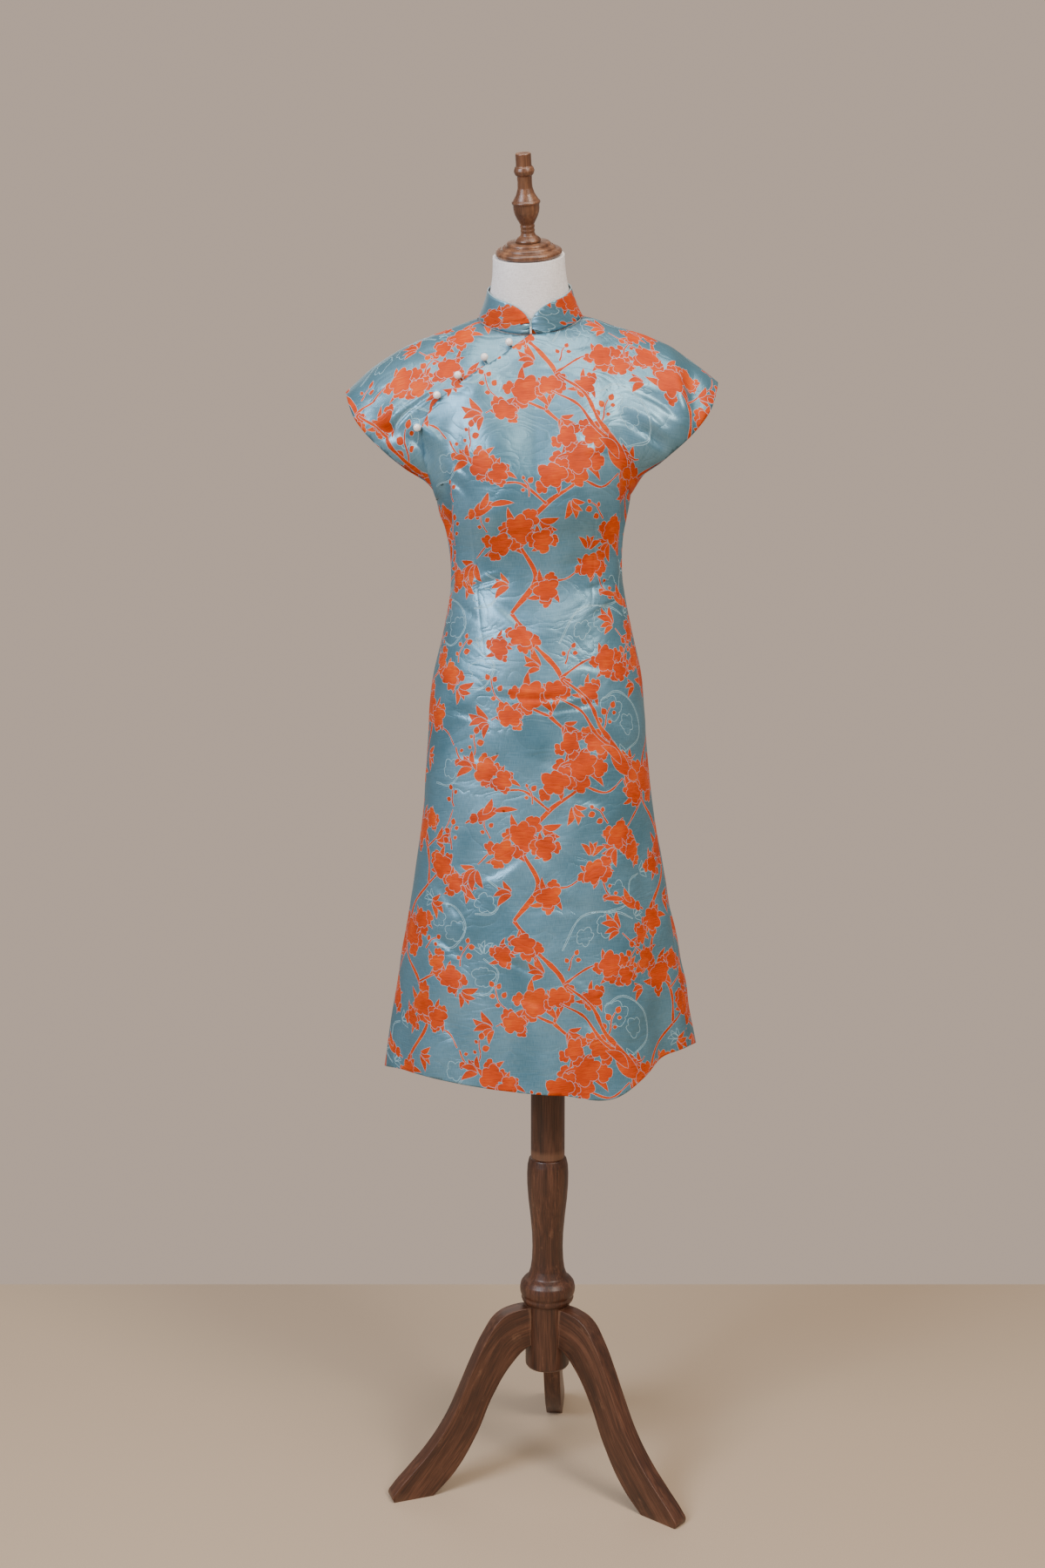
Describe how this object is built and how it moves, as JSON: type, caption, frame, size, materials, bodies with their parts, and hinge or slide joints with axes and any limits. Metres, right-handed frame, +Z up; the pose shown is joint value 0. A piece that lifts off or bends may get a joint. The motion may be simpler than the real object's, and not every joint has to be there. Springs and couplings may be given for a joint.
{
  "type": "cheongsam dress on a limbless dress form with a wooden tripod stand",
  "caption": "Short-sleeved cheongsam with a stand-up collar and a slanted pearl-buttoned opening, hanging hollow on a limbless dress form with a turned wooden tripod stand",
  "frame": {"origin": "on the floor, under the middle of the whole object's bounding box", "axes": "+Z up, +X to the wearer's left, -Y the front of the dress"},
  "size_m": [0.4893, 0.3868, 1.7872],
  "materials": {
    "silk_brocade": "blue silk satin brocade with orange figures, fine sheen",
    "pearl": "white pearl, glossy",
    "silk_cord": "pale blue silk cord",
    "white_tape": "white tape",
    "linen": "off-white linen, plain weave",
    "walnut": "dark brown stained wood, satin",
    "cap_wood": "mid-brown turned wood, satin"
  },
  "bodies": {
    "root": {"collar": "silk_brocade", "collar_hook": "white_tape", "column": "walnut", "dress_back": "silk_brocade", "dress_front": "silk_brocade", "dress_yoke": "silk_brocade", "finial": "cap_wood", "form_torso": "linen", "leg_back": "walnut", "leg_left": "walnut", "leg_right": "walnut", "loop_1": "silk_cord", "loop_2": "silk_cord", "loop_3": "silk_cord", "loop_4": "silk_cord", "loop_5": "silk_cord", "neck_cap": "cap_wood", "pearl_1": "pearl", "pearl_2": "pearl", "pearl_3": "pearl", "pearl_4": "pearl", "pearl_5": "pearl", "pole": "walnut"}
  },
  "joints": []
}
